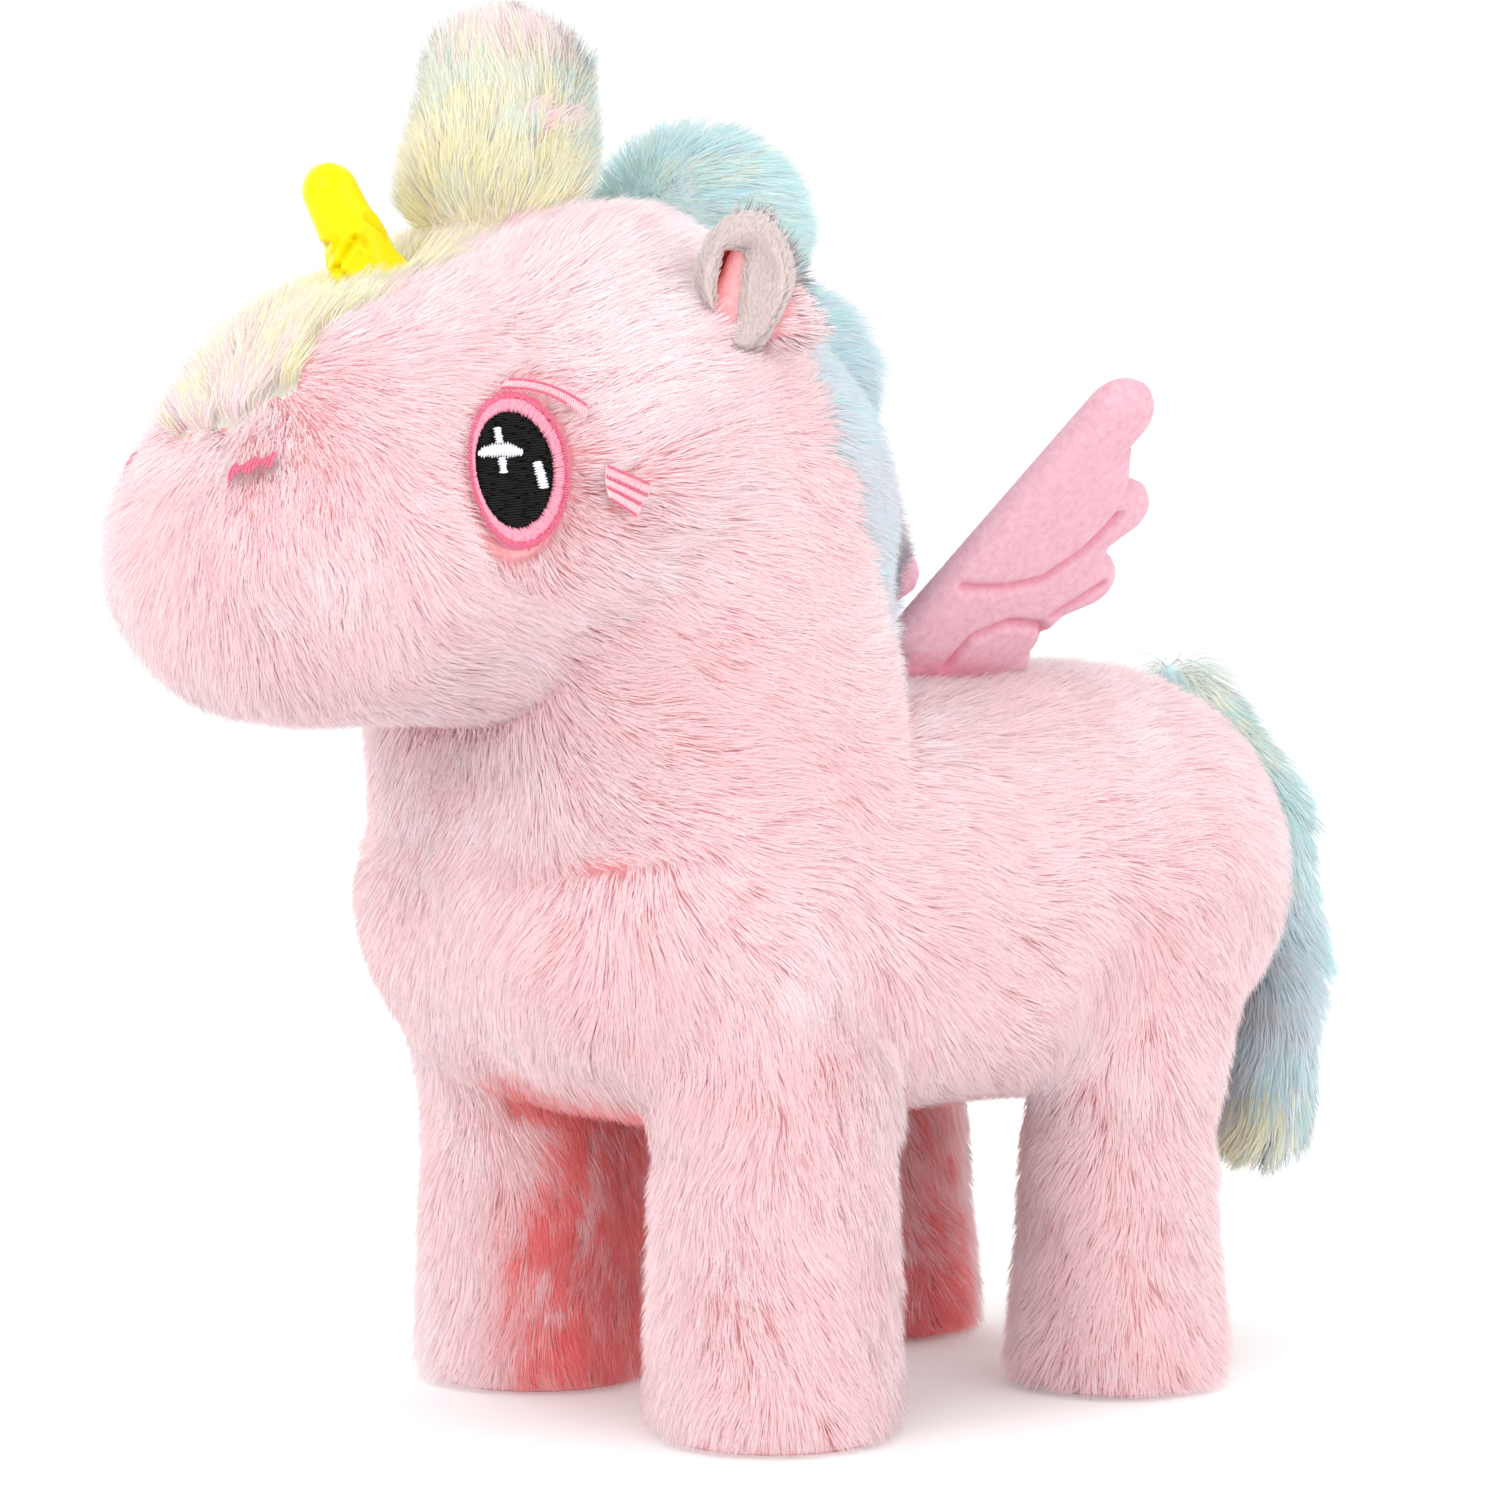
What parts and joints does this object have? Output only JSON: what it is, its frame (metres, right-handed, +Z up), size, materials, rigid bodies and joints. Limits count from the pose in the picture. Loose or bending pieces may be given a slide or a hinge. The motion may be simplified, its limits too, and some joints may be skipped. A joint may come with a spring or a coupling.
{
  "type": "plush unicorn",
  "caption": "Standing plush unicorn with long pile, padded wings, a clear horn, a mane and a hanging tail over a plastic walking mechanism with hinged legs.",
  "frame": {"origin": "on the floor plane of the soles, under the middle of the toy's whole length and width", "axes": "+Z up, nose towards -Y, the toy's own left side on +X"},
  "size_m": [0.113, 0.2437, 0.2359],
  "materials": {
    "fur_pink": "long-pile plush",
    "fur_rainbow": "long-pile plush",
    "fur_aqua": "long-pile plush",
    "fur_tail": "long-pile plush",
    "velour_pink": "short-nap velour",
    "plush_white": "short plush",
    "thread_black": "machine embroidery",
    "thread_pink": "machine embroidery",
    "horn_yellow": "translucent moulding",
    "led_lens": "clear epoxy",
    "felt_sole": "dense felt",
    "padding": "polyester fibre",
    "abs_white": "moulded",
    "abs_pink": "moulded",
    "abs_grey": "moulded",
    "abs_black": "moulded",
    "steel": "satin",
    "brass": "satin",
    "cell_jacket": "printed sleeve, plain",
    "board_green": "solder mask"
  },
  "bodies": {
    "torso": {"body_cover": "fur_pink", "body_padding": "padding", "wing_left": "velour_pink", "wing_right": "velour_pink", "chassis_left": "abs_white", "chassis_right": "abs_white", "chassis_screws": "steel", "gearbox_plate": "abs_white", "battery_box": "abs_grey", "batteries": "cell_jacket", "battery_contacts": "steel", "switch_housing": "abs_black", "motor": "steel", "gear_shafts": "steel", "hip_pins": "steel", "neck_pin": "steel", "speaker": "abs_black", "circuit_board": "board_green"},
    "head": {"head_cover": "fur_pink", "head_padding": "padding", "head_gusset": "fur_rainbow", "head_frame": "abs_white", "horn": "horn_yellow", "horn_ring": "abs_white", "horn_led": "led_lens", "forelock": "fur_rainbow", "mane_top": "fur_aqua", "mane_middle": "fur_aqua", "mane_lower": "fur_aqua", "ear_left": "fur_pink", "ear_right": "fur_pink", "ear_lining_left": "plush_white", "ear_lining_right": "plush_white", "eye_left": "thread_black", "eye_right": "thread_black", "eyelashes": "thread_pink", "nostrils": "thread_pink"},
    "tail": {"tail_cover": "fur_tail", "tail_rod": "abs_white"},
    "leg_front_left": {"leg_frame_front_left": "abs_white", "leg_cover_front_left": "fur_pink", "sole_front_left": "felt_sole"},
    "leg_front_right": {"leg_frame_front_right": "abs_white", "leg_cover_front_right": "fur_pink", "sole_front_right": "felt_sole"},
    "leg_hind_left": {"leg_frame_hind_left": "abs_white", "leg_cover_hind_left": "fur_pink", "sole_hind_left": "felt_sole"},
    "leg_hind_right": {"leg_frame_hind_right": "abs_white", "leg_cover_hind_right": "fur_pink", "sole_hind_right": "felt_sole"},
    "crank": {"crankshaft": "steel", "crank_disc_left": "abs_grey", "crank_disc_right": "abs_grey"},
    "gear_b": {"gear_b": "abs_white"},
    "gear_a": {"gear_a": "abs_white"},
    "motor_pinion": {"motor_pinion": "brass"},
    "battery_door": {"battery_door": "abs_pink", "battery_door_screw": "steel"},
    "power_switch": {"power_switch": "abs_black"}
  },
  "joints": [
    {"name": "leg_front_left_swing", "type": "hinge", "parent": "torso", "child": "leg_front_left", "pos_m": [0.034, -0.022, 0.074], "axis": [1, 0, 0], "range_deg": [-9, 9]},
    {"name": "leg_front_right_swing", "type": "hinge", "parent": "torso", "child": "leg_front_right", "pos_m": [-0.034, -0.022, 0.074], "axis": [1, 0, 0], "range_deg": [-9, 9]},
    {"name": "leg_hind_left_swing", "type": "hinge", "parent": "torso", "child": "leg_hind_left", "pos_m": [0.034, 0.054, 0.074], "axis": [1, 0, 0], "range_deg": [-9, 9]},
    {"name": "leg_hind_right_swing", "type": "hinge", "parent": "torso", "child": "leg_hind_right", "pos_m": [-0.034, 0.054, 0.074], "axis": [1, 0, 0], "range_deg": [-9, 9]},
    {"name": "head_nod", "type": "hinge", "parent": "torso", "child": "head", "pos_m": [0, -0.019, 0.124], "axis": [1, 0, 0], "range_deg": [-5, 5]},
    {"name": "tail_wag", "type": "hinge", "parent": "torso", "child": "tail", "pos_m": [0, 0.096, 0.1], "axis": [0, 1, 0], "range_deg": [-12, 12]},
    {"name": "crank_spin", "type": "hinge", "parent": "torso", "child": "crank", "pos_m": [0, 0.016, 0.092], "axis": [1, 0, 0], "continuous": true},
    {"name": "gear_b_spin", "type": "hinge", "parent": "torso", "child": "gear_b", "pos_m": [0, 0.0045, 0.092], "axis": [1, 0, 0], "continuous": true},
    {"name": "gear_a_spin", "type": "hinge", "parent": "torso", "child": "gear_a", "pos_m": [0, -0.00363, 0.10013], "axis": [1, 0, 0], "continuous": true},
    {"name": "motor_spin", "type": "hinge", "parent": "torso", "child": "motor_pinion", "pos_m": [0, -0.01359, 0.09438], "axis": [1, 0, 0], "continuous": true},
    {"name": "battery_door_lift", "type": "slide", "parent": "torso", "child": "battery_door", "axis": [0, 0, -1], "range_m": [0, 0.03]},
    {"name": "power_switch_slide", "type": "slide", "parent": "torso", "child": "power_switch", "axis": [0, 1, 0], "range_m": [0, 0.0036]}
  ],
  "couplings": [
    {"joint": "leg_front_right_swing", "follows": "leg_front_left_swing", "ratio": -1},
    {"joint": "leg_hind_left_swing", "follows": "leg_front_left_swing", "ratio": -1},
    {"joint": "leg_hind_right_swing", "follows": "leg_front_left_swing", "ratio": 1},
    {"joint": "gear_a_spin", "follows": "motor_spin", "ratio": -0.27778},
    {"joint": "gear_b_spin", "follows": "motor_spin", "ratio": 0.07716},
    {"joint": "crank_spin", "follows": "motor_spin", "ratio": -0.021433}
  ]
}
